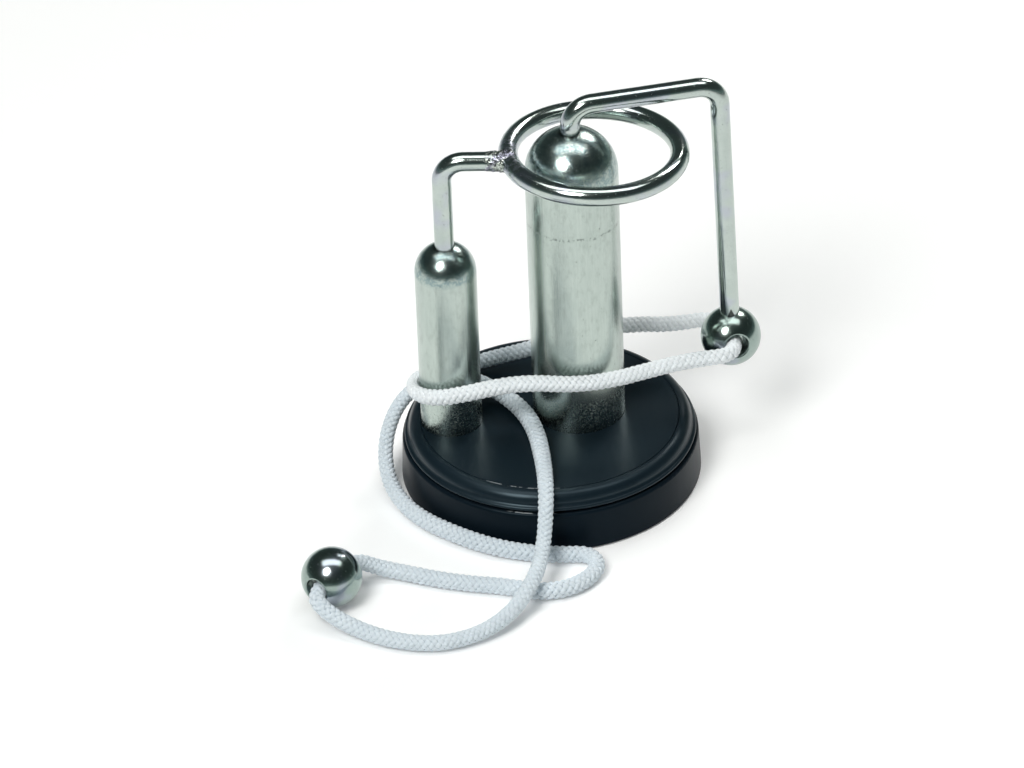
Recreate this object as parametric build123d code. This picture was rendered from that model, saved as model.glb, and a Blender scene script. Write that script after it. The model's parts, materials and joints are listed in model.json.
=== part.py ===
from build123d import *
import os
from math import cos, pi, radians, sin, sqrt, tan

os.makedirs("parts", exist_ok=True)

# Millimetres. +Z is up, the origin is the middle of the underside, +X runs from the
# short pillar towards the tall one, and the open side of the cord lies towards -Y.

# Base: a shallow tray with a stepped lid on it, felt underneath
base_diameter = 62.0
skirt_top = 9.2          # height of the tray's upper edge
skirt_draft = 0.35       # the wall leans in by this much on the way up
skirt_wall = 2.3
skirt_floor = 1.8
skirt_edge_round = 0.7
pad_thickness = 1.2
pad_proud = 0.4          # the felt stands below the tray's rim by this much
pad_clearance = 0.2
lid_rise = 3.9           # the lid's flat middle stands this far above the tray's edge
lid_thickness = 2.6
disc_band = 4.4          # width of the sloping band from the flat middle to the base's side
disc_line = 0.24         # width and depth of the fine line round the flat middle
disc_line_drop = 0.03    # the line's outer lip is this much lower than the flat middle
shoulder_drop = 1.8      # rounded step outside the flat middle
shoulder_crown = (0.72, 0.34)  # its middle point, as shares of its run and of its drop
cove_depth = 0.1         # how far the hollow under the step goes below a straight line
bead_radius = 0.45       # rolled lip above the seam
seam_gap = 0.35
seam_depth = 1.5
spigot_length = 3.8
spigot_wall = 1.8
spigot_clearance = 0.1

# Ballast plate under the lid
plate_thickness = 2.0
plate_clearance = 1.0

# Pillars: round bar with a domed end, standing in shallow seats in the lid
tall_diameter = 19.1
tall_top = 81.0
tall_x, tall_y = 6.1, 2.1
short_diameter = 12.7
short_top = 56.3
short_x, short_y = -20.3, -0.5
seat_depth = 0.8
seat_clearance = 0.06
foot_chamfer = 0.3

# Screws from below, one into each pillar
tall_screw = {"diameter": 6.0, "head_diameter": 10.0, "head_height": 2.8, "key": 4.0, "grip": 9.0}
short_screw = {"diameter": 4.0, "head_diameter": 7.2, "head_height": 2.2, "key": 2.5, "grip": 7.0}
washer_thickness = 1.2
washer_rim = 1.0         # how far a washer shows past the screw's head
screw_clearance = 0.3
tapping_clearance = 0.03
tapping_run_out = 2.0    # the tapped hole is this much deeper than the screw
key_depth = 1.6
access_clearance = 1.0   # round each washer, through the tray's floor
head_round = 0.3         # share of a head's height
tip_chamfer = 0.1        # share of a screw's diameter

# Wire: one gauge for the arm, the ring and the rod that carries the ring
wire_diameter = 4.0
bend_radius = 4.6        # at the wire's centreline
braze_gap = 0.03         # between a wire and the hole it is brazed into
dome_socket = 8.0        # depth of the wire's hole in each dome
arm_rise = 5.9           # the arm's level run stands this far above the tall dome
arm_azimuth = 11.5       # degrees from +X
arm_reach = 31.1         # tall pillar's axis to the arm's outer corner
arm_splay = 1.4          # the outer leg ends this much further out than that corner

# Ring round the top of the tall pillar
ring_radius = 17.45      # centreline
ring_x, ring_y = 10.8, 1.8
ring_drop = 5.2          # the ring's middle is this far below the top of the tall dome
ring_lean_x = 1.8        # degrees: the ring's far side from the weld hangs lower
ring_lean_y = 2.6        # degrees: the ring's back hangs lower
weld_angle = 189.8       # degrees round the ring, where the rod meets it
weld_length = 3.7        # half length of the weld bead along the rod
weld_build_up = 0.85     # thickness of the bead on the rod

# Balls
ball_diameter = 12.5
ball_bore = 4.8
bore_edge_round = 0.35
eye_height = 25.2        # centre of the eye ball at the arm's end
eye_socket_wall = 0.6    # metal left between the wire's end and the cross bore
eye_bore_azimuth = -78.3  # degrees from +X, the way the bore's front mouth faces
eye_bore_tilt = 8.6      # degrees above level
free_x, free_y = -45.6, -45.1
free_bore_azimuth = -125.2  # the way this level bore's front mouth faces

# Cord: one loop, its two ends held end to end in a sleeve inside the free ball
cord_diameter = 3.5
cord_end_gap = 0.4
sleeve_length = 7.0
sleeve_clearance = 0.05  # the free ball turns on the sleeve
eye_lead = 3.25          # from the eye ball's side to the cord's corner outside each mouth
free_front_lead = 0.75   # the same at the free ball's front mouth
free_back_lead = 1.05    # and at its back mouth


def direction(azimuth, tilt=0.0):
    flat = cos(radians(tilt))
    return Vector(flat * cos(radians(azimuth)), flat * sin(radians(azimuth)), sin(radians(tilt)))


def rod(start, end, radius):
    """A plain cylinder from one point to another."""
    axis = Vector(end) - Vector(start)
    plane = Plane(origin=start, z_dir=axis)
    return extrude(plane * Circle(radius), amount=axis.length)


def turned(profile):
    """A solid of revolution about Z from (radius, height) edges."""
    return revolve(Plane.XZ * make_face(profile), Axis.Z)


def save(name, shape):
    shape.label = name
    export_step(shape, f"parts/{name}.step")


# Values that follow from the ones above
base_radius = base_diameter / 2
tall_radius = tall_diameter / 2
short_radius = short_diameter / 2
wire_radius = wire_diameter / 2
ball_radius = ball_diameter / 2
bore_radius = ball_bore / 2
cord_radius = cord_diameter / 2
disc_radius = base_radius - disc_band
lid_top = skirt_top + lid_rise
arm_height = tall_top + arm_rise
ring_z = tall_top - ring_drop
weld_radius = wire_radius + weld_build_up
skirt_rim = pad_proud
floor_bottom = pad_thickness
floor_top = floor_bottom + skirt_floor
wall_inner = base_radius - skirt_draft - skirt_wall
wall_top = base_radius - skirt_draft
lid_bottom = lid_top - lid_thickness
plate_bottom = lid_bottom - plate_thickness
seat_z = lid_top - seat_depth

arm_start = Vector(tall_x, tall_y, tall_top - dome_socket)
arm_out = direction(arm_azimuth)
arm_corner = Vector(tall_x, tall_y, arm_height)
arm_far = arm_corner + arm_out * arm_reach
eye_centre = arm_far + arm_out * arm_splay
eye_centre.Z = eye_height
arm_leg = (arm_far - eye_centre).normalized()
arm_end = eye_centre + arm_leg * (bore_radius + eye_socket_wall)
eye_axis = direction(eye_bore_azimuth, eye_bore_tilt)

ring_plane = Plane(origin=(ring_x, ring_y, ring_z)).rotated((-ring_lean_y, ring_lean_x, 0))
weld_at = ring_plane.from_local_coords(
    Vector(ring_radius * cos(radians(weld_angle)), ring_radius * sin(radians(weld_angle)), 0))
ring_rod_corner = Vector(short_x, short_y, weld_at.Z)
ring_rod_out = (weld_at - ring_rod_corner).normalized()
ring_rod_end = weld_at - ring_rod_out * (wire_radius / 2)

free_centre = Vector(free_x, free_y, ball_radius)
free_axis = direction(free_bore_azimuth)

lid_bottom_edge = skirt_top + seam_gap
screw_places = [(tall_x, tall_y, tall_screw), (short_x, short_y, short_screw)]
pillar_places = [(tall_x, tall_y, tall_radius, tall_screw), (short_x, short_y, short_radius, short_screw)]


# ---- base ----

def base_skirt():
    rim_inner = wall_inner - skirt_wall / 2
    top_land = wall_top - skirt_edge_round
    outer_low = (base_radius, skirt_rim)
    outer_high = (wall_top, skirt_top - skirt_edge_round)
    edge_middle = (wall_top - skirt_edge_round * (1 - cos(radians(45))),
                   skirt_top - skirt_edge_round * (1 - sin(radians(45))))
    profile = [
        Polyline((0, floor_top), (0, floor_bottom), (rim_inner + pad_clearance, floor_bottom),
                 (rim_inner + pad_clearance, skirt_rim), outer_low, outer_high),
        ThreePointArc(outer_high, edge_middle, (top_land, skirt_top)),
        Polyline((top_land, skirt_top), (wall_inner, skirt_top), (wall_inner, floor_top), (0, floor_top)),
    ]
    skirt = turned(profile)
    for x, y, screw in screw_places:
        hole_radius = washer_radius(screw) + access_clearance
        skirt -= rod((x, y, 0), (x, y, floor_top + 1), hole_radius)
    return skirt


def base_pad():
    return extrude(Circle(wall_inner - skirt_wall / 2), amount=pad_thickness)


def base_top():
    bead_middle = lid_bottom_edge + bead_radius
    bead_centre_r = wall_top - skirt_edge_round - bead_radius / 2
    shoulder_start = (disc_radius + disc_line, lid_top - disc_line_drop)
    shoulder_end = (bead_centre_r - bead_radius, lid_top - shoulder_drop)
    crown_run, crown_drop = shoulder_crown
    shoulder_middle = (shoulder_start[0] + crown_run * (shoulder_end[0] - shoulder_start[0]),
                       lid_top - crown_drop * shoulder_drop)
    cove_end = (bead_centre_r, bead_middle + bead_radius)
    cove_middle = ((shoulder_end[0] + cove_end[0]) / 2 - cove_depth,
                   (shoulder_end[1] + cove_end[1]) / 2 - cove_depth)
    bead_out = (bead_centre_r + bead_radius, bead_middle)
    bead_low = (bead_centre_r, bead_middle - bead_radius)
    land = wall_top - skirt_edge_round - seam_depth
    spigot = wall_inner - spigot_clearance
    spigot_low = skirt_top - spigot_length
    profile = [
        Polyline((0, lid_top), (disc_radius, lid_top),
                 (disc_radius + disc_line / 2, lid_top - disc_line), shoulder_start),
        ThreePointArc(shoulder_start, shoulder_middle, shoulder_end),
        ThreePointArc(shoulder_end, cove_middle, cove_end),
        ThreePointArc(cove_end, bead_out, bead_low),
        Polyline(bead_low, (land, bead_low[1]), (land, skirt_top), (spigot, skirt_top),
                 (spigot, spigot_low), (spigot - spigot_wall, spigot_low),
                 (spigot - spigot_wall, lid_bottom), (0, lid_bottom), (0, lid_top)),
    ]
    lid = turned(profile)
    for x, y, radius, screw in pillar_places:
        lid -= rod((x, y, seat_z), (x, y, lid_top + 1), radius + seat_clearance)
        lid -= rod((x, y, 0), (x, y, lid_top), screw["diameter"] / 2 + screw_clearance)
    return lid


def ballast_plate():
    radius = wall_inner - spigot_clearance - spigot_wall - plate_clearance
    plate = rod((0, 0, plate_bottom), (0, 0, lid_bottom), radius)
    for x, y, screw in screw_places:
        plate -= rod((x, y, 0), (x, y, lid_bottom + 1), screw["diameter"] / 2 + screw_clearance)
    return plate


def washer_radius(screw):
    return screw["head_diameter"] / 2 + washer_rim


def washer(x, y, screw):
    low = plate_bottom - washer_thickness
    ring_outer = rod((x, y, low), (x, y, plate_bottom), washer_radius(screw))
    return ring_outer - rod((x, y, low - 1), (x, y, lid_top), screw["diameter"] / 2 + screw_clearance)


def screw_solid(x, y, screw):
    head_top = plate_bottom - washer_thickness
    head_low = head_top - screw["head_height"]
    head = rod((x, y, head_low), (x, y, head_top), screw["head_diameter"] / 2)
    head = fillet(head.edges().group_by(Axis.Z)[0], screw["head_height"] * head_round)
    shank = rod((x, y, head_top), (x, y, seat_z + screw["grip"]), screw["diameter"] / 2)
    shank = chamfer(shank.edges().group_by(Axis.Z)[-1], screw["diameter"] * tip_chamfer)
    key = Plane(origin=(x, y, head_low)) * RegularPolygon(screw["key"] / 2, 6, major_radius=False)
    return head + shank - extrude(key, amount=key_depth)


# ---- pillars ----

def pillar(x, y, radius, top, screw):
    spring = top - radius
    middle = (radius * cos(radians(45)), spring + radius * sin(radians(45)))
    profile = [
        Polyline((0, top), (0, seat_z), (radius - foot_chamfer, seat_z),
                 (radius, seat_z + foot_chamfer), (radius, spring)),
        ThreePointArc((radius, spring), middle, (0, top)),
    ]
    body = Pos(x, y, 0) * turned(profile)
    body -= rod((x, y, top - dome_socket), (x, y, top + 1), wire_radius + braze_gap)
    tapped_end = seat_z + screw["grip"] + tapping_run_out
    return body - rod((x, y, 0), (x, y, tapped_end), screw["diameter"] / 2 + tapping_clearance)


# ---- wire ----

def bent_wire(points):
    path = FilletPolyline(*points, radius=bend_radius)
    section = Plane(origin=path @ 0, z_dir=path % 0) * Circle(wire_radius)
    return sweep(section, path=path)


def ring(margin=0.0):
    return ring_plane * Torus(ring_radius, wire_radius + margin)


def ring_rod():
    """The rod's end is hollowed to sit against the ring's round wire."""
    start = (short_x, short_y, short_top - dome_socket)
    return bent_wire([start, ring_rod_corner, ring_rod_end]) - ring(braze_gap)


def ring_weld():
    along = Plane(origin=weld_at - ring_rod_out * wire_radius, z_dir=ring_rod_out)
    outline = [
        ThreePointArc((0, -weld_length), (weld_radius, 0), (0, weld_length)),
        Line((0, weld_length), (0, -weld_length)),
    ]
    bead = along * turned(outline)
    return bead - rod(ring_rod_corner, ring_rod_end, wire_radius) - ring()


# ---- balls and sleeve ----

def bored_ball(centre, axis):
    mouth = sqrt(ball_radius ** 2 - bore_radius ** 2)
    half = make_face([
        ThreePointArc((bore_radius, -mouth), (ball_radius, 0), (bore_radius, mouth)),
        Line((bore_radius, mouth), (bore_radius, -mouth)),
    ])
    half = fillet(half.vertices(), bore_edge_round)
    return Plane(origin=centre, z_dir=axis) * revolve(Plane.XZ * half, Axis.Z)


def eye_ball():
    ball = bored_ball(eye_centre, eye_axis)
    return ball - rod(arm_end, arm_end + arm_leg * ball_radius, wire_radius + braze_gap)


def cord_sleeve():
    half = free_axis * (sleeve_length / 2)
    outer = rod(free_centre - half, free_centre + half, bore_radius - sleeve_clearance)
    return outer - rod(free_centre - half * 2, free_centre + half * 2, cord_radius)


# ---- cord ----

# The way of the cord's middle, from inside the free ball out of its front mouth, along the
# floor, up over the base, round the short pillar, past the tall one, through the eye ball
# and back behind both pillars, down to the floor and into the free ball's back mouth.
cord_points = [
    free_centre + free_axis * (cord_end_gap / 2),
    free_centre + free_axis * (ball_radius + free_front_lead),
    (-46.9, -54.7, 4.5),
    (-40.6, -58.2, 2.2),
    (-32.7, -62.2, 1.8),
    (-23.7, -63.7, 1.8),
    (-15.1, -60.5, 2.0),
    (-8.9, -55.6, 3.7),
    (-5.2, -49.6, 5.8),
    (-3.1, -42.1, 5.9),
    (-2.0, -35.9, 9.3),
    (-1.5, -31.0, 14.6),
    (-1.6, -23.6, 15.2),
    (-2.1, -16.5, 15.0),
    (-2.9, -9.5, 15.0),
    (-4.9, -2.3, 15.0),
    (-8.9, 4.1, 15.2),
    (-15.4, 8.3, 16.9),
    (-23.4, 8.3, 19.4),
    (-29.0, 2.6, 21.2),
    (-28.3, -5.1, 22.7),
    (-21.9, -9.7, 24.2),
    (-13.6, -8.9, 26.0),
    (-4.4, -9.3, 27.6),
    (4.8, -10.0, 27.0),
    (13.2, -8.4, 26.8),
    (21.2, -5.0, 26.7),
    (29.2, -2.4, 26.9),
    eye_centre + eye_axis * (ball_radius + eye_lead),
    eye_centre - eye_axis * (ball_radius + eye_lead),
    (25.9, 18.0, 22.0),
    (18.6, 16.6, 23.5),
    (11.0, 15.4, 23.5),
    (3.4, 16.0, 21.2),
    (-4.2, 17.0, 17.8),
    (-12.0, 17.0, 15.9),
    (-19.2, 14.8, 15.2),
    (-25.6, 10.8, 15.2),
    (-30.5, 5.5, 14.6),
    (-33.5, 0.9, 11.0),
    (-34.5, -3.4, 6.2),
    (-33.5, -9.0, 3.1),
    (-30.7, -15.1, 2.1),
    (-26.6, -20.7, 1.9),
    (-21.1, -25.8, 2.2),
    (-13.9, -30.6, 2.1),
    (-6.1, -33.4, 1.9),
    (1.2, -34.4, 1.8),
    (7.3, -34.4, 1.8),
    (8.9, -39.9, 1.8),
    (3.5, -45.9, 1.8),
    (-3.6, -47.2, 1.8),
    (-10.8, -44.5, 1.8),
    (-18.5, -43.1, 1.8),
    (-25.3, -40.9, 1.8),
    (-31.1, -38.6, 1.9),
    (-36.2, -37.3, 2.6),
    free_centre - free_axis * (ball_radius + free_back_lead),
    free_centre - free_axis * (cord_end_gap / 2),
]


def cord_radii(points):
    """The largest tangent arc at each corner: 0.45 of the shorter run over tan(half the turn)."""
    radii = []
    for before, here, after in zip(points, points[1:], points[2:]):
        shorter = min((here - before).length, (after - here).length)
        turn = (here - before).get_angle(after - here)
        radii.append(0.45 * shorter / tan(radians(turn) / 2))
    return radii


def cord():
    points = [Vector(*point) for point in cord_points]
    radii = cord_radii(points)
    path = FilletPolyline(*points, radius=radii)
    tube = sweep(Plane(origin=path @ 0, z_dir=path % 0) * Circle(cord_radius), path=path)
    print("cord arc radii", " ".join(f"{r:.1f}" for r in radii))
    print(f"cord length {path.length:.1f}, volume {tube.volume:.1f},",
          f"section x length {path.length * pi * cord_radius ** 2:.1f}")
    return tube


save("base_skirt", base_skirt())
save("base_pad", base_pad())
save("base_top", base_top())
save("ballast_plate", ballast_plate())
save("tall_pillar", pillar(tall_x, tall_y, tall_radius, tall_top, tall_screw))
save("short_pillar", pillar(short_x, short_y, short_radius, short_top, short_screw))
save("tall_pillar_screw", screw_solid(tall_x, tall_y, tall_screw))
save("short_pillar_screw", screw_solid(short_x, short_y, short_screw))
save("tall_pillar_washer", washer(tall_x, tall_y, tall_screw))
save("short_pillar_washer", washer(short_x, short_y, short_screw))
save("arm_rod", bent_wire([arm_start, arm_corner, arm_far, arm_end]))
save("ring_rod", ring_rod())
save("ring", ring())
save("ring_weld", ring_weld())
save("eye_ball", eye_ball())
save("free_ball", bored_ball(free_centre, free_axis))
save("cord_sleeve", cord_sleeve())
save("cord", cord())
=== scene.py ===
import json
import math

import bpy
import numpy as np
from mathutils import Matrix, Vector, noise


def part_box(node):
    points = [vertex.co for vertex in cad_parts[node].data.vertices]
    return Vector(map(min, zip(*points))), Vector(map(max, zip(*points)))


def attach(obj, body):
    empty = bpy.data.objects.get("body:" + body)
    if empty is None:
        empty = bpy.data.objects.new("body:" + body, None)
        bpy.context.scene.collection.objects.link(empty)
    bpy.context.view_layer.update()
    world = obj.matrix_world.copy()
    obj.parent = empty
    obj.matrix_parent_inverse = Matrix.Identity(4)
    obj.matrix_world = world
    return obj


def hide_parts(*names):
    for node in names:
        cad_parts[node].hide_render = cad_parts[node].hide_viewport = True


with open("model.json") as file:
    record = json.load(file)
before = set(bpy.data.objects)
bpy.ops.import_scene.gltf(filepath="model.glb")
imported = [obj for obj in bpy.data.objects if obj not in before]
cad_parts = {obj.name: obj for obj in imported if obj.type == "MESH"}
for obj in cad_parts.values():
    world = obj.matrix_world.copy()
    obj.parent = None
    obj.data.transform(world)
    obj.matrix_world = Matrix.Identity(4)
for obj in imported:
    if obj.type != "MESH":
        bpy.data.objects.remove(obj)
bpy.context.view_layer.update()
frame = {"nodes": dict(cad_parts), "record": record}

mm = 0.001
record = frame["record"]
nodes = frame["nodes"]


# the camera, then the cord

cameraSet = {"elevation": 34.553, "roll": -2.186, "distance": 1.7714, "lens": 302.23,
             "target": (-0.007597, 0.0, 0.020946), "clipEnd": 20}


def makeCamera():
    tilt, roll = math.radians(cameraSet["elevation"]), math.radians(cameraSet["roll"])
    level, rise = Vector((1, 0, 0)), Vector((0, math.sin(tilt), math.cos(tilt)))
    back = Vector((0, -math.cos(tilt), math.sin(tilt)))
    across = math.cos(roll) * level + math.sin(roll) * rise
    upward = -math.sin(roll) * level + math.cos(roll) * rise
    camera = bpy.data.objects.new("camera", bpy.data.cameras.new("camera"))
    camera.data.lens = cameraSet["lens"]
    camera.data.clip_end = cameraSet["clipEnd"]
    place = Vector(cameraSet["target"]) + back * cameraSet["distance"]
    turn = Matrix((across, upward, back)).transposed()
    camera.matrix_world = Matrix.Translation(place) @ turn.to_4x4()
    bpy.context.scene.collection.objects.link(camera)
    bpy.context.scene.camera = camera


makeCamera()
print("camera in place")


class Flow:
    # one socket of a finish; arithmetic on it adds Math nodes
    def __init__(self, finish, socket):
        self.finish = finish
        self.socket = socket

    def __add__(self, other):
        return self.finish.maths("ADD", self, other)

    def __sub__(self, other):
        return self.finish.maths("SUBTRACT", self, other)

    def __rsub__(self, other):
        return self.finish.maths("SUBTRACT", other, self)

    def __mul__(self, other):
        return self.finish.maths("MULTIPLY", self, other)

    def __abs__(self):
        return self.finish.maths("ABSOLUTE", self)

    __radd__ = __add__
    __rmul__ = __mul__


class Finish:
    # a material, or the sky, and the nodes that make it
    def __init__(self, name, sky=False):
        self.owner = (bpy.data.worlds if sky else bpy.data.materials).new(name)
        self.owner.use_nodes = True
        self.tree = self.owner.node_tree
        self.shader = self.tree.nodes["Background" if sky else "Principled BSDF"]

    def node(self, kind, settings=None, sockets=None, out=0):
        # any node: its settings go in first, then values or links, and one socket comes out
        made = self.tree.nodes.new(kind)
        for key, value in (settings or {}).items():
            if key == "stops":
                self.setStops(made.color_ramp, value)
            else:
                setattr(made, key, value)
        for key, value in (sockets or {}).items():
            if isinstance(value, Flow):
                self.tree.links.new(value.socket, made.inputs[key])
            else:
                made.inputs[key].default_value = value
        return Flow(self, made.outputs[out])

    def setStops(self, ramp, stops):
        while len(ramp.elements) < len(stops):
            ramp.elements.new(0.5)
        for element, (place, colour) in zip(ramp.elements, stops):
            element.position = place
            element.color = (*colour, 1)

    def maths(self, operation, *values):
        return self.node("ShaderNodeMath", {"operation": operation}, dict(enumerate(values)))

    def place(self, scale=(1, 1, 1)):
        # the surface point in millimetres, stretched
        where = self.node("ShaderNodeTexCoord", out="Object")
        sockets = {0: where, 1: tuple(part / mm for part in scale)}
        return self.node("ShaderNodeVectorMath", {"operation": "MULTIPLY"}, sockets)

    def axis(self, where, letter):
        return self.node("ShaderNodeSeparateXYZ", None, {0: where}, out=letter)

    def flat(self, where):
        # the point with no height
        return self.node("ShaderNodeVectorMath", {"operation": "MULTIPLY"}, {0: where, 1: (1, 1, 0)})

    def gap(self, first, second=(0, 0, 0)):
        # how far apart two points are
        sockets = {0: first, 1: second}
        return self.node("ShaderNodeVectorMath", {"operation": "DISTANCE"}, sockets, out="Value")

    def cloud(self, where, scale=1.0, detail=3.0, rough=0.55, warp=0.0):
        sockets = {"Vector": where, "Scale": scale, "Detail": detail, "Roughness": rough}
        return self.node("ShaderNodeTexNoise", None, {**sockets, "Distortion": warp})

    def step(self, value, low, high):
        # 0 under low, 1 over high, smooth between them
        sockets = {0: value, 1: low, 2: high, 3: 0.0, 4: 1.0}
        return self.node("ShaderNodeMapRange", {"interpolation_type": "SMOOTHSTEP"}, sockets)

    def blend(self, amount, first, second):
        # colours by amount
        sockets = {0: amount, 6: first, 7: second}
        sockets = {k: (*v, 1) if isinstance(v, tuple) and len(v) == 3 else v for k, v in sockets.items()}
        return self.node("ShaderNodeMix", {"data_type": "RGBA"}, sockets, out=2)

    def fix(self, **values):
        # plain values on the shader's own sockets
        for key, value in values.items():
            name = key.replace("_", " ")
            self.shader.inputs[name].default_value = (*value, 1) if isinstance(value, tuple) else value

    def feed(self, name, flow):
        self.tree.links.new(flow.socket, self.shader.inputs[name])

    def bump(self, height, strength, depth):
        # depth in metres
        return self.node("ShaderNodeBump", None, {"Height": height, "Strength": strength, "Distance": depth})


def dress(piece, finish):
    piece.data.materials.clear()
    piece.data.materials.append(finish.owner)


def newMesh(name, verts, faces, smooth=True):
    mesh = bpy.data.meshes.new(name)
    mesh.from_pydata([tuple(v) for v in verts], [], faces)
    mesh.update()
    if smooth:
        mesh.polygons.foreach_set("use_smooth", [True] * len(mesh.polygons))
    piece = bpy.data.objects.new(name, mesh)
    bpy.context.scene.collection.objects.link(piece)
    return piece


freeLow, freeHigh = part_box("free_ball")
ballRadius = (freeHigh.z - freeLow.z) / 2
freeCentre = (freeLow + freeHigh) / 2
eyeLow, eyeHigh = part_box("eye_ball")
eyeCentre = Vector(((eyeLow.x + eyeHigh.x) / 2, (eyeLow.y + eyeHigh.y) / 2, eyeLow.z + ballRadius))
freeTurn = record["behaviour"]["joints"][0]
freeAxis = Vector(freeTurn["axis"]).normalized()


def heading(azimuth, tilt):
    # a direction from two angles in degrees
    flat = math.cos(math.radians(tilt))
    return Vector((flat * math.cos(math.radians(azimuth)), flat * math.sin(math.radians(azimuth)),
                   math.sin(math.radians(tilt))))


eyeAxis = heading(-78.3, 8.6)

# from inside the loose ball, out of its front mouth, over the base, round the short pillar,
# through the eye ball, back behind both pillars and in at the loose ball's other mouth
cordRoute = [
    freeCentre + freeAxis * 0.0002,
    freeCentre + freeAxis * 0.0070,
    (-0.0469, -0.0547, 0.0045),
    (-0.0406, -0.0582, 0.00232),
    (-0.0327, -0.0622, 0.00192),
    (-0.0237, -0.0637, 0.00192),
    (-0.0151, -0.0605, 0.00212),
    (-0.0089, -0.0556, 0.0037),
    (-0.0052, -0.0496, 0.0058),
    (-0.0031, -0.0421, 0.0059),
    (-0.0020, -0.0359, 0.0093),
    (-0.0015, -0.0310, 0.0146),
    (-0.0016, -0.0236, 0.0152),
    (-0.0021, -0.0165, 0.0150),
    (-0.0029, -0.0095, 0.0150),
    (-0.0049, -0.0023, 0.0150),
    (-0.0089, 0.0041, 0.0152),
    (-0.0154, 0.0083, 0.0169),
    (-0.0232, 0.0079, 0.0194),
    (-0.0286, 0.0025, 0.0211),
    (-0.0280, -0.0049, 0.0225),
    (-0.0218, -0.0093, 0.0240),
    (-0.0136, -0.0089, 0.0260),
    (-0.0044, -0.0093, 0.0276),
    (0.0048, -0.0100, 0.0270),
    (0.0132, -0.0084, 0.0268),
    (0.0212, -0.0050, 0.0267),
    (0.0292, -0.0024, 0.0269),
    eyeCentre + eyeAxis * 0.0095,
    eyeCentre - eyeAxis * 0.0095,
    (0.0259, 0.0180, 0.0220),
    (0.0186, 0.0166, 0.0235),
    (0.0110, 0.0154, 0.0235),
    (0.0034, 0.0160, 0.0212),
    (-0.0042, 0.0170, 0.0178),
    (-0.0120, 0.0170, 0.0159),
    (-0.0192, 0.0148, 0.0152),
    (-0.0256, 0.0108, 0.0152),
    (-0.0305, 0.0055, 0.0146),
    (-0.0335, 0.0009, 0.0110),
    (-0.0345, -0.0034, 0.0062),
    (-0.0335, -0.0090, 0.0031),
    (-0.0307, -0.0151, 0.00222),
    (-0.0266, -0.0207, 0.00202),
    (-0.0211, -0.0258, 0.00232),
    (-0.0139, -0.0306, 0.00222),
    (-0.0061, -0.0334, 0.00202),
    (0.0012, -0.0344, 0.00192),
    (0.0073, -0.0344, 0.00192),
    (0.0089, -0.0399, 0.00192),
    (0.0035, -0.0459, 0.00192),
    (-0.0036, -0.0472, 0.00192),
    (-0.0108, -0.0445, 0.00192),
    (-0.0185, -0.0431, 0.00192),
    (-0.0253, -0.0409, 0.00192),
    (-0.0311, -0.0386, 0.00202),
    (-0.0362, -0.0373, 0.0026),
    freeCentre - freeAxis * 0.0073,
    freeCentre - freeAxis * 0.0002,
]

cordSet = {
    "diameter": 0.0035,
    "length": 0.4435,
    "strands": 5,            # each way round
    "sample": 0.00020,       # along the cord
    "sides": 7,              # round each strand
    # millimetres along the cord, and half its width there
    "halfWidth": [(0, 1.60), (6, 1.75), (20, 1.82), (40, 1.66), (58, 1.75), (72, 1.58), (84, 1.68),
                  (97, 1.92), (112, 1.92), (126, 1.75), (140, 1.60), (152, 1.72), (168, 1.84), (190, 1.76),
                  (212, 1.72), (222, 1.62), (238, 1.66), (250, 1.74), (282, 1.68), (305, 1.56), (322, 1.66),
                  (340, 1.88), (352, 1.88), (368, 1.82), (380, 1.72), (392, 1.90), (404, 1.76), (430, 1.76),
                  (440, 1.62)],
    "slackStitch": 0.00142,  # stitch length along the cord where it is widest
    "tautStitch": 0.00118,
    "strandWide": 0.00053,   # half the width of a strand
    "strandThick": 0.00031,
    "weave": 0.00023,        # how far a strand rises over its neighbour
    "core": 0.00115,
    "coreSides": 12,
    "smooth": 61,            # samples over which the half width is averaged
    "unevenStep": 60,        # the cord's own small unevenness: how often, how wide, and in the stitch
    "unevenRow": 3.1,        # which row of the noise it follows
    "uneven": 0.00003,
    "unevenStitch": 0.08,
    "traceSteps": 24,
    # where the cord bears on the short pillar
    "press": 0.80,           # how flat it is pressed
    "pressHalf": 0.0017,     # half its width there before that
    "pressLow": 0.018,
    "pressHigh": 0.030,
    "pressReach": 0.0032,    # from the bar's side
    "pressFade": 0.0010,
    "pressGap": 0.00010,     # left between the bar and the braid
    "pressRise": 0.10,       # how much taller it gets
}


def routeLine(points):
    # the smooth line that the route's points pull
    curve = bpy.data.curves.new("cordRoute", "CURVE")
    curve.dimensions = "3D"
    curve.resolution_u = cordSet["traceSteps"]
    spline = curve.splines.new("NURBS")
    spline.points.add(len(points) - 1)
    for spot, point in zip(spline.points, points):
        spot.co = (*point, 1)
    spline.order_u = 3
    spline.use_endpoint_u = True
    holder = bpy.data.objects.new("cordRoute", curve)
    bpy.context.scene.collection.objects.link(holder)
    bpy.context.view_layer.update()
    traced = bpy.data.meshes.new_from_object(holder)
    line = np.array([v.co for v in traced.vertices], float)
    bpy.data.objects.remove(holder)
    bpy.data.curves.remove(curve)
    bpy.data.meshes.remove(traced)
    return line


def unit(rows):
    return rows / np.linalg.norm(rows, axis=1)[:, None]


def evenly(line, gap):
    # the same line with its points a set distance apart
    run = np.r_[0, np.cumsum(np.linalg.norm(np.diff(line, axis=0), axis=1))]
    keep = np.r_[True, np.diff(run) > 1e-9]
    line, run = line[keep], run[keep]
    places = np.linspace(0, run[-1], int(run[-1] / gap) + 1)
    return np.stack([np.interp(places, run, line[:, i]) for i in range(3)], 1), places


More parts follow.
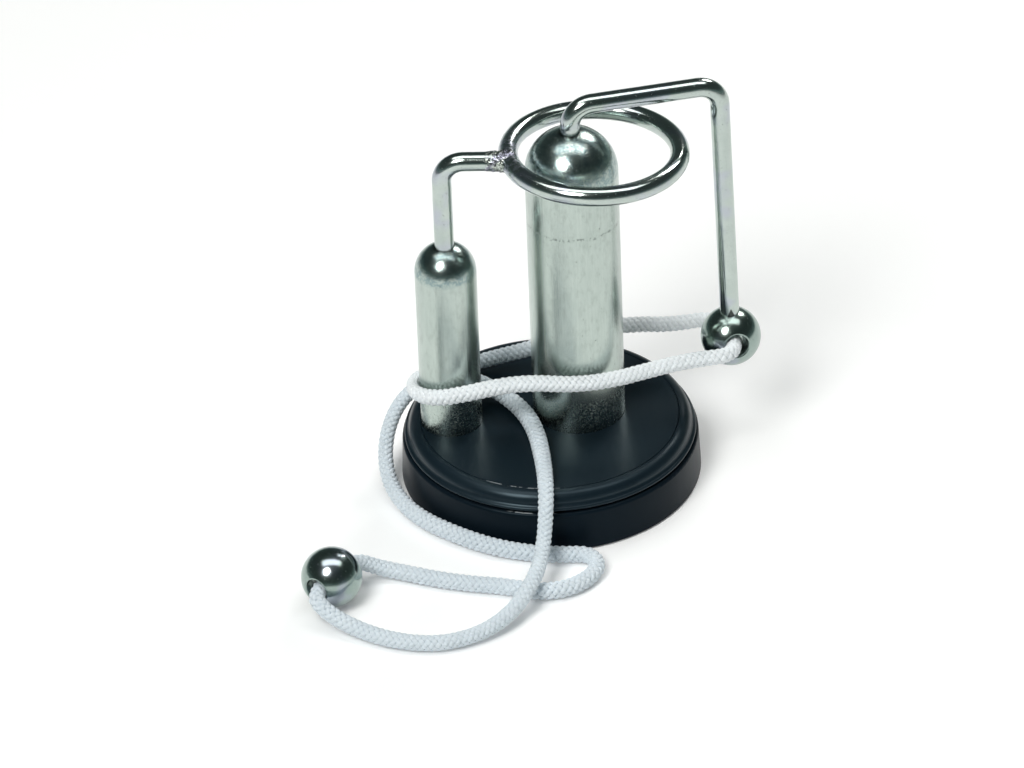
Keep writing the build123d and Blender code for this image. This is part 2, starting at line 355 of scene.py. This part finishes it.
def carriedFrames(line):
    # a side and an upright for each point, turned no more than the line turns
    along = unit(np.gradient(line, axis=0))
    side = np.zeros_like(line)
    first = np.cross(along[0], (0, 0, 1.0))
    side[0] = first / np.linalg.norm(first)
    for i in range(1, len(line)):
        s = side[i - 1] - along[i] * np.dot(side[i - 1], along[i])
        side[i] = s / np.linalg.norm(s)
    return along, side, np.cross(along, side)


def tubeFaces(rings, sides):
    # quads round a closed tube, wound outwards when its rings turn right-handed about its run
    faces = []
    for i in range(rings - 1):
        here, there = i * sides, (i + 1) * sides
        for j in range(sides):
            k = (j + 1) % sides
            faces.append((here + j, here + k, there + k, there + j))
    faces.append(tuple(reversed(range(sides))))
    faces.append(tuple(range((rings - 1) * sides, rings * sides)))
    return faces


def rope(centre, wide, thick, radialDir, sidewaysDir, sides):
    # rings of an oval section, one at each point
    turn = np.linspace(0, 2 * np.pi, sides, endpoint=False)
    ring = (centre[:, None, :] + np.cos(turn)[None, :, None] * sidewaysDir[:, None, :] * wide
            + np.sin(turn)[None, :, None] * radialDir[:, None, :] * thick)
    verts = ring.reshape(-1, 3)
    return verts, tubeFaces(len(centre), sides)


def pressed(verts, middles):
    # flattens the cord's section against the short pillar; middles holds each vertex's point on the line
    low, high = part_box("short_pillar")
    axis = np.array(((low.x + high.x) / 2, (low.y + high.y) / 2))
    radius = (high.x - low.x) / 2
    away = middles[:, :2] - axis
    reach = np.linalg.norm(away, axis=1)
    outward = away / reach[:, None]
    level = (middles[:, 2] > cordSet["pressLow"]) & (middles[:, 2] < cordSet["pressHigh"])
    hold = np.clip((radius + cordSet["pressReach"] - reach) / cordSet["pressFade"], 0, 1) * level
    hold = hold * hold * (3 - 2 * hold)
    shrink = (1 - cordSet["press"]) * hold
    spare = reach - radius - cordSet["pressHalf"] * cordSet["press"] - cordSet["pressGap"]
    closer = np.minimum(shrink * cordSet["pressHalf"], np.maximum(spare, 0))
    offset = verts - middles
    inOut = (offset[:, :2] * outward).sum(1)
    moved = verts.copy()
    moved[:, :2] -= outward * (inOut * shrink + closer)[:, None]
    moved[:, 2] += offset[:, 2] * cordSet["pressRise"] * hold
    return moved


def halfWidths(run, slow):
    # half the cord's width at each point, smoothed and a little uneven
    places, widths = np.array(cordSet["halfWidth"]).T
    half = np.interp(run / mm, places, widths)
    smooth = cordSet["smooth"]
    half = np.convolve(np.pad(half, smooth // 2, mode="edge"), np.ones(smooth) / smooth, "valid")
    return half * mm + slow * cordSet["uneven"]


def makeCord():
    wide, thick, weave = cordSet["strandWide"], cordSet["strandThick"], cordSet["weave"]
    count, sides, coreSides = cordSet["strands"], cordSet["sides"], cordSet["coreSides"]
    line, run = evenly(routeLine(cordRoute), cordSet["sample"])
    along, side, upright = carriedFrames(line)
    slow = np.array([noise.noise(Vector((s * cordSet["unevenStep"], cordSet["unevenRow"], 0))) for s in run])
    half = halfWidths(run, slow)
    full = (half - half.min()) / (half.max() - half.min())
    stitch = cordSet["tautStitch"] + (cordSet["slackStitch"] - cordSet["tautStitch"]) * full
    stitch = stitch * (1 + cordSet["unevenStitch"] * slow)
    turned = np.r_[0, np.cumsum(np.diff(run) / (stitch[1:] * count))] * 2 * np.pi
    verts, faces, rise, middles = [], [], [], []
    total = 0
    for way in (1, -1):
        for k in range(count):
            angle = 2 * np.pi * k / count + way * turned
            outward = np.cos(angle)[:, None] * side + np.sin(angle)[:, None] * upright
            height = half - thick - weave + way * weave * np.cos(count * angle)
            centre = line + outward * height[:, None]
            lead = unit(np.gradient(centre, axis=0))
            sideways = unit(np.cross(outward, lead))
            v, f = rope(centre, wide, thick, np.cross(lead, sideways), sideways, sides)
            middle = np.repeat(line, sides, 0)
            out = np.linalg.norm(v - middle, axis=1)
            verts.append(v)
            middles.append(middle)
            rise.append((np.repeat(half, sides) - out) / (2 * weave + thick))
            faces += [tuple(i + total for i in face) for face in f]
            total += len(v)
    v, f = rope(line, cordSet["core"], cordSet["core"], upright, side, coreSides)
    verts.append(v)
    middles.append(np.repeat(line, coreSides, 0))
    rise.append(np.ones(len(v)))
    faces += [tuple(i + total for i in face) for face in f]
    piece = newMesh("cordBraid", pressed(np.concatenate(verts), np.concatenate(middles)), faces)
    depth = piece.data.attributes.new("depth", "FLOAT", "POINT")     # 1 in the gaps between strands
    depth.data.foreach_set("value", np.concatenate(rise).clip(0, 1).astype(np.float32))
    return piece, line, run[-1]


cord, cordLine, cordLength = makeCord()
print("cord made, length %.4f m, %d vertices" % (cordLength, len(cord.data.vertices)))


braidSet = {
    "raisedLit": ((0.88, 0.92, 0.95), (0.93, 0.95, 0.965)),          # the cord held up off the base, lit lighter
    "lowShaded": ((0.65, 0.725, 0.785), (0.76, 0.815, 0.86)),      # and lower down, darker: painted shade
    "change": (19, 26),                                          # height in millimetres
    # gap is painted shade for the hollows between strands and on the core
    "gap": (0.38, 0.46, 0.54), "gapShadeAmount": 0.80,
    "fuzz": (0.55, 0.63, 0.69), "fuzzAmount": 0.22,
    "dull": 0.60, "fuzzDull": 0.2,
    "strength": 0.40, "depth": 0.00005,
}


def whiteBraid():
    finish = Finish("whiteBraid")
    where = finish.place()
    depth = finish.node("ShaderNodeAttribute", {"attribute_name": "depth"}, out="Fac")
    patch = finish.cloud(where, 0.22, 2)
    fuzz = finish.cloud(where, 9.0, 4, 0.7)
    up = finish.axis(where, "Z")
    raisedLit = finish.blend(patch, *braidSet["raisedLit"])
    lowShaded = finish.blend(patch, *braidSet["lowShaded"])
    # the cord is painted darker below about 19-26 mm: painted shade on its low runs
    tone = finish.blend(finish.step(up + patch * 4, *braidSet["change"]), lowShaded, raisedLit)
    # painted shade in the gaps between strands and on the core
    tone = finish.blend(finish.step(depth, 0.22, 0.95) * braidSet["gapShadeAmount"], tone, braidSet["gap"])
    tone = finish.blend(finish.step(fuzz, 0.35, 0.75) * braidSet["fuzzAmount"], tone, braidSet["fuzz"])
    finish.feed("Base Color", tone)
    finish.feed("Roughness", fuzz * braidSet["fuzzDull"] + braidSet["dull"])
    finish.feed("Normal", finish.bump(fuzz, braidSet["strength"], braidSet["depth"]))
    finish.fix(Sheen_Weight=0.15, Sheen_Roughness=0.5, Specular_IOR_Level=0.35)
    return finish


dress(cord, whiteBraid())
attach(cord, "stand")
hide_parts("cord")


tallLow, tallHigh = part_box("tall_pillar")
shortLow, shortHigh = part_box("short_pillar")
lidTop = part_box("base_top")[1].z
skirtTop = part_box("base_skirt")[1].z

# colours are linear; lengths in a finish are in millimetres, apart from the depth of its bumps
nickelTones = {
    "barLight": (0.565, 0.630, 0.585), "barDark": (0.37, 0.44, 0.41), "barStain": (0.33, 0.38, 0.35),
    "wireLight": (0.565, 0.625, 0.590), "wireDark": (0.41, 0.475, 0.445),
    # the ball tones are darker than the wire's: painted shade for the shadowed floor the balls reflect
    "ballShadedLight": (0.37, 0.445, 0.41), "ballShadedDark": (0.27, 0.345, 0.32),
    # domeShade is a painted dark reflection: the tint the dome's dark patches take from the dark room
    "domeShade": (0.23, 0.315, 0.32), "heat": (0.43, 0.42, 0.58),
    # the notch tone is painted shade inside a small notch on the arm wire
    "grime": (0.045, 0.050, 0.045), "notch": (0.020, 0.022, 0.020),
    # the collar tone is painted shade round the wire's foot on the dome
    "rodFootShade": (0.05, 0.052, 0.045), "foot": (0.10, 0.12, 0.12), "scuff": (0.10, 0.12, 0.11),
}

barSet = {
    "streak": (4.2, 4.2, 0.07), "fine": (20.0, 20.0, 0.5),       # noise squeezed across the bar
    "stain": 0.55, "pit": 0.60,
    "rodFootShade": (2.5, 3.6), "rodFootShadeAmount": 0.85,                  # painted shade round the wire's foot on the dome
    "foot": (0.2, 3.2), "footAmount": 0.8,                       # speckled foot, above the base
    "specks": (4.5, 9.0),
    "tallScuff": (60.6, 0.55),                                   # height and half width of a worn line
    "scuffAmount": 0.62, "scuffLift": 0.8,
    # how rough each part of it is, and how far it stands out
    "dull": {"plain": 0.14, "satin": 0.03, "streak": 0.10, "dome": 0.14, "pit": 0.15, "speck": 0.20},
    "lift": {"fine": 0.22, "patch": 0.5, "pit": 0.7, "grit": 0.40, "mottle": 1.3, "blotch": 0.45},
    "strength": 0.25, "depth": 0.00011,
}


def nickelBar(name, low, high, scuff=None):
    # satin bar with lengthwise streaks, a duller dome above it with painted dark reflection patches, and a
    # dark foot
    spring = (high.z - (high.x - low.x) / 2) / mm                # where the dome starts
    centre = ((low.x + high.x) / 2 / mm, (low.y + high.y) / 2 / mm, 0)
    base = lidTop / mm
    finish = Finish(name)
    streak = finish.cloud(finish.place(barSet["streak"]), 1.0, 4, 0.6)
    fine = finish.cloud(finish.place(barSet["fine"]), 1.0, 3, 0.6)
    patch = finish.cloud(finish.place(), 0.16, 3)
    grit = finish.cloud(finish.place(), 3.0, 4, 0.75)
    pit = finish.step(finish.cloud(finish.place((1, 1, 0.5)), 2.6, 2, 0.5), 0.70, 0.77)
    place = finish.place()
    up = finish.axis(place, "Z")
    dome = finish.step(up, spring - 0.4, spring + 0.8)
    satin = 1 - dome
    tone = finish.blend(streak * 0.60 + patch * 0.40, nickelTones["barLight"], nickelTones["barDark"])
    blotch = finish.cloud(finish.place((1, 1, 0.4)), 0.9, 5, 0.75)
    stain = finish.step(blotch, 0.46, 0.70) * satin * barSet["stain"]
    tone = finish.blend(stain, tone, nickelTones["barStain"])
    mottle = finish.cloud(place, 0.75, 4, 0.7)
    # mottled patches of the dome darkened: painted dark reflection
    shade = dome * finish.step(mottle * 0.6 + grit * 0.4, 0.38, 0.60)
    tone = finish.blend(shade, tone, nickelTones["domeShade"])
    tone = finish.blend(pit * barSet["pit"], tone, nickelTones["grime"])
    apart = finish.gap(finish.flat(place), centre)
    # a dark ring round the wire's foot on the dome: painted shade
    rodFootShade = 1 - finish.step(apart + grit * 1.2, *barSet["rodFootShade"])
    rodFootShade = rodFootShade * finish.step(up, spring + 1.0, spring + 2.0)
    tone = finish.blend(rodFootShade * barSet["rodFootShadeAmount"], tone, nickelTones["rodFootShade"])
    foot = 1 - finish.step(up, *(base + rise for rise in barSet["foot"]))
    foot = foot * finish.step(grit, 0.40, 0.62) * barSet["footAmount"]
    tone = finish.blend(foot, tone, nickelTones["foot"])
    specks = 1 - finish.step(up, *(base + rise for rise in barSet["specks"]))
    specks = specks * finish.step(finish.cloud(place, 2.4, 3, 0.6), 0.52, 0.60)
    dull, raised = barSet["dull"], barSet["lift"]
    lift = streak * satin + fine * satin * raised["fine"] + patch * raised["patch"] - pit * raised["pit"]
    lift = lift + (grit * raised["grit"] + mottle * raised["mottle"]) * dome
    lift = lift + blotch * satin * raised["blotch"]
    if scuff:
        level, tall = scuff
        wander = finish.cloud(finish.place((0.12, 0.12, 0)), 1.0, 1)
        band = 1 - finish.step(abs(up - level + wander * 1.2 - 0.6), tall * 0.3, tall)
        dots = finish.step(finish.cloud(finish.place((1, 1, 0.8)), 1.9, 3, 0.65), 0.50, 0.60)
        tone = finish.blend(band * dots * barSet["scuffAmount"], tone, nickelTones["scuff"])
        lift = lift - band * dots * barSet["scuffLift"]
    matt = dull["plain"] + satin * (streak * dull["streak"] + dull["satin"]) + mottle * dome * dull["dome"]
    finish.feed("Base Color", tone)
    finish.feed("Roughness", matt + pit * dull["pit"] + specks * dull["speck"])
    finish.feed("Normal", finish.bump(lift, barSet["strength"], barSet["depth"]))
    finish.fix(Metallic=1.0)
    return finish


wireSet = {
    "wireDull": 0.085, "ballDull": 0.13, "grainDull": 0.10, "pitDull": 0.15,
    "grain": 0.45, "grainDark": 0.40, "stain": 0.40, "pit": 0.6,
    "notchAt": (eyeCentre.x / mm + 0.1, eyeCentre.y / mm, eyeCentre.z / mm + 8.0),      # the notch's point
    "notchTall": (2.0, 2.3), "notchShadeAmount": 0.92,
    "heat": (4.5, 15.0), "heatAmount": 0.50, "heatDull": 0.17,   # how far the weld's tint spreads
    "waveLift": 0.9, "grainLift": 0.07, "pitLift": 0.4,
    "strength": 0.30, "depth": 0.00013,
}


def nickelPolished(name, light, dark, dull, notch=None, hot=None):
    # bright plate; notch is the point of a small notch whose shade is painted dark, hot the weld's middle
    finish = Finish(name)
    where = finish.place()
    wave = finish.cloud(where, 0.30, 3, 0.6)
    grain = finish.cloud(where, 5.0, 4, 0.7)
    pit = finish.step(finish.cloud(where, 2.3, 2, 0.5), 0.69, 0.75)
    tone = finish.blend(wave, dark, light)
    darker = tuple(c * wireSet["grainDark"] for c in dark)
    tone = finish.blend(finish.step(grain, 0.52, 0.72) * wireSet["grain"], tone, darker)
    stain = finish.step(finish.cloud(where, 0.13, 2), 0.50, 0.66) * wireSet["stain"]
    tone = finish.blend(stain, tone, nickelTones["heat"])
    tone = finish.blend(pit * wireSet["pit"], tone, nickelTones["grime"])
    if notch:
        across, deep, up = (finish.axis(where, letter) for letter in "XYZ")
        under = notch[2] - up
        inside = finish.step(under * 0.42 - abs(across - notch[0]) + grain * 0.10, 0.02, 0.18)
        front = 1 - finish.step(deep, notch[1] - 0.3, notch[1])
        # the notch is painted near black: painted shade inside it
        notchShade = inside * (1 - finish.step(under, *wireSet["notchTall"])) * front
        tone = finish.blend(notchShade * wireSet["notchShadeAmount"], tone, nickelTones["notch"])
    matt = dull + grain * wireSet["grainDull"] + pit * wireSet["pitDull"]
    if hot:
        tint = 1 - finish.step(finish.gap(where, hot), *wireSet["heat"])
        tint = tint * finish.step(finish.cloud(where, 0.8, 4, 0.7), 0.36, 0.60)
        tone = finish.blend(tint * wireSet["heatAmount"], tone, nickelTones["heat"])
        matt = matt + tint * wireSet["heatDull"]
    finish.feed("Base Color", tone)
    finish.feed("Roughness", matt)
    lift = wave * wireSet["waveLift"] + grain * wireSet["grainLift"] - pit * wireSet["pitLift"]
    finish.feed("Normal", finish.bump(lift, wireSet["strength"], wireSet["depth"]))
    finish.fix(Metallic=1.0)
    return finish


plasticSet = {
    # the lid tones are lighter and the skirt tones darker: painted light on the top and painted shade on the
    # side of the same black plastic
    "lid": ((0.0048, 0.0104, 0.0160), (0.0076, 0.0154, 0.0218)), "lidShine": 0.36,
    "skirt": ((0.0028, 0.0066, 0.0110), (0.0046, 0.0096, 0.0150)), "skirtShine": 0.10,
    "tint": (0.66, 0.88, 1.0),
    "speck": (0.12, 0.13, 0.14), "speckAmount": 0.35,
    # painted highlight dashes on two edges: height, radius, middle and half length along x, strength
    "edgeGlint": [(skirtTop / mm - 0.04, 30.06, -4.5, 5.5, 0.65), (lidTop / mm, 26.72, -6.0, 9.0, 0.65)],
    "edgeGlintTone": (0.50, 0.54, 0.56),
    "edgeGlintHigh": (0.07, 0.16), "edgeGlintDeep": (0.09, 0.20),          # how they fade off the edge
    "edgeGlintFront": (-20.0, -18.0),                                 # only on the near side
    "dull": 0.25, "hazeDull": 0.12, "speckDull": 0.3, "edgeGlintDull": 0.2,
    "orangeLift": 0.25, "speckLift": 0.4,
    "strength": 0.10, "depth": 0.00010,
}


def blackPlastic(name, shine, dark, light):
    finish = Finish(name)
    where = finish.place()
    haze = finish.cloud(where, 0.07, 2, 0.5)
    orange = finish.cloud(where, 2.2, 2, 0.5)
    speck = finish.step(finish.cloud(where, 3.6, 2, 0.5), 0.755, 0.80)
    tone = finish.blend(haze, dark, light)
    tone = finish.blend(speck * plasticSet["speckAmount"], tone, plasticSet["speck"])
    across, deep, up = (finish.axis(where, letter) for letter in "XYZ")
    apart = finish.gap(finish.flat(where))
    dash = finish.step(finish.cloud(finish.place((0.9, 0.9, 0)), 1.0, 1, 0.5), 0.45, 0.52)
    edgeGlint = 0.0
    for level, edge, middle, half, strength in plasticSet["edgeGlint"]:
        line = 1 - finish.step(abs(up - level), *plasticSet["edgeGlintHigh"])
        line = line * (1 - finish.step(abs(apart - edge), *plasticSet["edgeGlintDeep"]))
        edgeGlint = line * (1 - finish.step(abs(across - middle), half * 0.6, half)) * strength + edgeGlint
    edgeGlint = edgeGlint * dash * (1 - finish.step(deep, *plasticSet["edgeGlintFront"]))
    # bright dashes along two edges on the near side: painted highlight
    tone = finish.blend(edgeGlint, tone, plasticSet["edgeGlintTone"])
    matt = plasticSet["dull"] + haze * plasticSet["hazeDull"] + speck * plasticSet["speckDull"]
    lift = orange * plasticSet["orangeLift"] + speck * plasticSet["speckLift"]
    finish.feed("Base Color", tone)
    finish.feed("Roughness", matt + edgeGlint * plasticSet["edgeGlintDull"])
    finish.feed("Normal", finish.bump(lift, plasticSet["strength"], plasticSet["depth"]))
    finish.fix(IOR=1.46, Specular_IOR_Level=shine, Specular_Tint=plasticSet["tint"])
    return finish


hiddenTones = {
    "steel": ((0.55, 0.56, 0.57), (0.68, 0.68, 0.66)),
    "felt": ((0.010, 0.010, 0.012), (0.045, 0.045, 0.050)),
}


def plainSteel():
    finish = Finish("zincSteel")
    grain = finish.cloud(finish.place((3, 3, 3)), 1.0, 4, 0.6)
    finish.feed("Base Color", finish.blend(grain, *hiddenTones["steel"]))
    finish.feed("Roughness", 0.28 + grain * 0.18)
    finish.feed("Normal", finish.bump(grain, 0.2, 0.00008))
    finish.fix(Metallic=1.0)
    return finish


def blackFelt():
    finish = Finish("blackFelt")
    hair = finish.cloud(finish.place((4, 4, 4)), 1.0, 6, 0.8, 1.5)
    finish.feed("Base Color", finish.blend(hair, *hiddenTones["felt"]))
    finish.feed("Roughness", 0.85 + hair * 0.12)
    finish.feed("Normal", finish.bump(hair, 0.8, 0.0003))
    finish.fix(Sheen_Weight=0.4, Specular_IOR_Level=0.2)
    return finish


tallFinish = nickelBar("nickelBarTall", tallLow, tallHigh, barSet["tallScuff"])
shortFinish = nickelBar("nickelBarShort", shortLow, shortHigh)
wireLook = (nickelTones["wireLight"], nickelTones["wireDark"], wireSet["wireDull"])
ballLook = (nickelTones["ballShadedLight"], nickelTones["ballShadedDark"], wireSet["ballDull"])
weldLow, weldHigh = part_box("ring_weld")
weldCentre = (weldLow + weldHigh) / 2
wireFinish = nickelPolished("nickelWire", *wireLook)
ringFinish = nickelPolished("nickelRing", *wireLook, hot=tuple(weldCentre / mm))
armFinish = nickelPolished("nickelWireArm", *wireLook, notch=wireSet["notchAt"])
ballFinish = nickelPolished("nickelBallShaded", *ballLook)
lidPlastic = blackPlastic("blackPlasticLid", plasticSet["lidShine"], *plasticSet["lid"])
skirtPlastic = blackPlastic("blackPlasticSkirt", plasticSet["skirtShine"], *plasticSet["skirt"])
steel = plainSteel()

dress(nodes["tall_pillar"], tallFinish)
dress(nodes["short_pillar"], shortFinish)
dress(nodes["arm_rod"], armFinish)
dress(nodes["ring_rod"], wireFinish)
dress(nodes["ring"], ringFinish)
for name in ("eye_ball", "free_ball"):
    dress(nodes[name], ballFinish)
dress(nodes["base_top"], lidPlastic)
dress(nodes["base_skirt"], skirtPlastic)
for name in ("ballast_plate", "tall_pillar_screw", "short_pillar_screw", "tall_pillar_washer",
             "short_pillar_washer"):
    dress(nodes[name], steel)
dress(nodes["cord_sleeve"], plainSteel())
dress(nodes["base_pad"], blackFelt())
print("finishes made")


weldSet = {
    "wireRadius": 0.002,
    "rings": 64, "round": 72,
    # millimetres from the middle towards the ring, and the bead's radius there
    "profile": [(-3.6, 1.80), (-2.9, 1.94), (-1.8, 1.98), (-0.6, 2.06), (0.6, 2.22), (1.5, 2.40), (2.3, 2.45),
                (3.0, 2.02), (3.5, 1.30), (3.7, 0.05)],
    "lump": 0.20, "lumpScale": 0.95, "lumpShift": (3.7, 0, 1.2),
    "crater": 0.36, "craterScale": 2.4, "craterShift": (0, 8.1, 0), "craterLevel": 0.35,
    "fadeRod": 1.0, "fadeRing": 0.6, "fadeLeast": 0.2,           # the lumps die away towards both ends
    "tints": ((0.42, 0.42, 0.52), (0.54, 0.59, 0.53)),
    "scale": (0.035, 0.040, 0.042), "scaleAmount": 0.92,         # dark scale left by the torch
    "dull": 0.14, "scaleDull": 0.24,
    "strength": 0.5, "depth": 0.00022,
}


def makeWeld():
    # a lumpy bead in the line of the rod's level run, from the rod to the ring
    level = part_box("ring_rod")[1].z - weldSet["wireRadius"]
    start = Vector(((shortLow.x + shortHigh.x) / 2, (shortLow.y + shortHigh.y) / 2, level))
    centre = Vector((weldCentre.x, weldCentre.y, level))
    out = (centre - start).normalized()
    side = out.cross(Vector((0, 0, 1))).normalized()
    above = side.cross(out)
    steps, widths = np.array(weldSet["profile"]).T
    rings, rounds = weldSet["rings"], weldSet["round"]
    verts = []
    for i in range(rings):
        along = steps[0] + (steps[-1] - steps[0]) * i / (rings - 1)
        radius = float(np.interp(along, steps, widths))
        rodEnd = (along - steps[0]) / weldSet["fadeRod"]
        ringEnd = (steps[-1] - along) / weldSet["fadeRing"] + weldSet["fadeLeast"]
        fade = min(1.0, rodEnd, ringEnd)
        for j in range(rounds):
            turn = 2 * math.pi * j / rounds
            spoke = side * math.cos(turn) + above * math.sin(turn)
            spot = out * along + spoke * radius
            lump = noise.noise(spot * weldSet["lumpScale"] + Vector(weldSet["lumpShift"]))
            dent = abs(noise.noise(spot * weldSet["craterScale"] + Vector(weldSet["craterShift"])))
            rough = weldSet["lump"] * lump + weldSet["crater"] * (weldSet["craterLevel"] - dent)
            verts.append(centre + (out * along + spoke * (radius + fade * rough)) * mm)
    # its rings turn left-handed, so its faces are turned round
    faces = [(face[0], *face[:0:-1]) for face in tubeFaces(rings, rounds)]
    return newMesh("weldBead", verts, faces)


def weldMetal():
    finish = Finish("weldMetal")
    where = finish.place()
    tint = finish.cloud(where, 0.45, 2, 0.5)
    scale = finish.cloud(where, 1.5, 5, 0.75)
    tone = finish.blend(finish.step(tint, 0.40, 0.60), *weldSet["tints"])
    tone = finish.blend(finish.step(scale, 0.47, 0.60) * weldSet["scaleAmount"], tone, weldSet["scale"])
    finish.feed("Base Color", tone)
    finish.feed("Roughness", weldSet["dull"] + scale * weldSet["scaleDull"])
    finish.feed("Normal", finish.bump(scale, weldSet["strength"], weldSet["depth"]))
    finish.fix(Metallic=1.0)
    return finish


weld = makeWeld()
dress(weld, weldMetal())
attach(weld, "stand")
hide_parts("ring_weld")
print("weld made")


roomSet = {
    "floor": (0.96, 0.96, 0.96),
    "floorDark": 0.985,                 # how much its darker spots keep
    "reach": 4.0,                       # half the paper's width
    "glow": 0.11,                       # lifts the paper to an even white
    "lamps": [
        # name, shape, azimuth, elevation, distance, width, height, power, colour
        ("keySoftbox", "ELLIPSE", -122, 49, 0.80, 0.32, 0.40, 3.9, (1.0, 1.0, 0.98)),
        ("topSoftbox", "RECTANGLE", 90, 89.2, 0.85, 1.05, 0.36, 3.1, (1.0, 1.0, 1.0)),
        ("backSoftbox", "RECTANGLE", 58, 37, 0.95, 0.28, 0.26, 3.3, (1.0, 0.98, 0.95)),
    ],
    "skyTint": (0.80, 1.08, 1.04),
    # from the horizon up: how bright the room is
    "sky": [(0.0, 0.26), (0.06, 0.19), (0.25, 0.06), (0.7, 0.045), (1.0, 0.10)],
    "backdrop": (0.93, 0.94, 0.95),     # what shows behind the object
    "aim": (0, 0, 0.03),                # where the lamps point
}


def makeFloor():
    reach = roomSet["reach"]
    corners = [(x * reach, y * reach, 0) for x, y in ((-1, -1), (1, -1), (1, 1), (-1, 1))]
    floor = newMesh("floor", corners, [(0, 1, 2, 3)], False)
    finish = Finish("floorPaper")
    grain = finish.cloud(finish.place(), 0.05, 2)
    low = tuple(c * roomSet["floorDark"] for c in roomSet["floor"])
    finish.feed("Base Color", finish.blend(grain, low, roomSet["floor"]))
    finish.fix(Roughness=0.9, Specular_IOR_Level=0.1)
    finish.fix(Emission_Color=(1.0, 1.0, 1.0), Emission_Strength=roomSet["glow"])
    floor.data.materials.append(finish.owner)


def makeLamp(name, shape, azimuth, elevation, distance, width, height, power, colour):
    data = bpy.data.lights.new(name, "AREA")
    data.shape = shape
    data.size, data.size_y, data.energy, data.color = width, height, power, colour
    lamp = bpy.data.objects.new(name, data)
    away = heading(azimuth, elevation)
    lamp.location = Vector(roomSet["aim"]) + away * distance
    lamp.rotation_euler = away.to_track_quat("Z", "Y").to_euler()
    bpy.context.scene.collection.objects.link(lamp)


def makeSky():
    sky = Finish("studio", sky=True)
    up = sky.axis(sky.node("ShaderNodeTexCoord", out="Generated"), "Z")
    stops = [(place, tuple(level * part for part in roomSet["skyTint"])) for place, level in roomSet["sky"]]
    ramp = sky.node("ShaderNodeValToRGB", {"stops": stops}, {0: up})
    seen = sky.node("ShaderNodeLightPath", out="Is Camera Ray")
    sky.feed("Color", sky.blend(seen, ramp, roomSet["backdrop"]))
    sky.fix(Strength=1.0)
    bpy.context.scene.world = sky.owner


makeFloor()
for lamp in roomSet["lamps"]:
    makeLamp(*lamp)
makeSky()
bpy.context.scene.view_settings.view_transform = "Standard"
print("room lit")

bpy.context.view_layer.update()
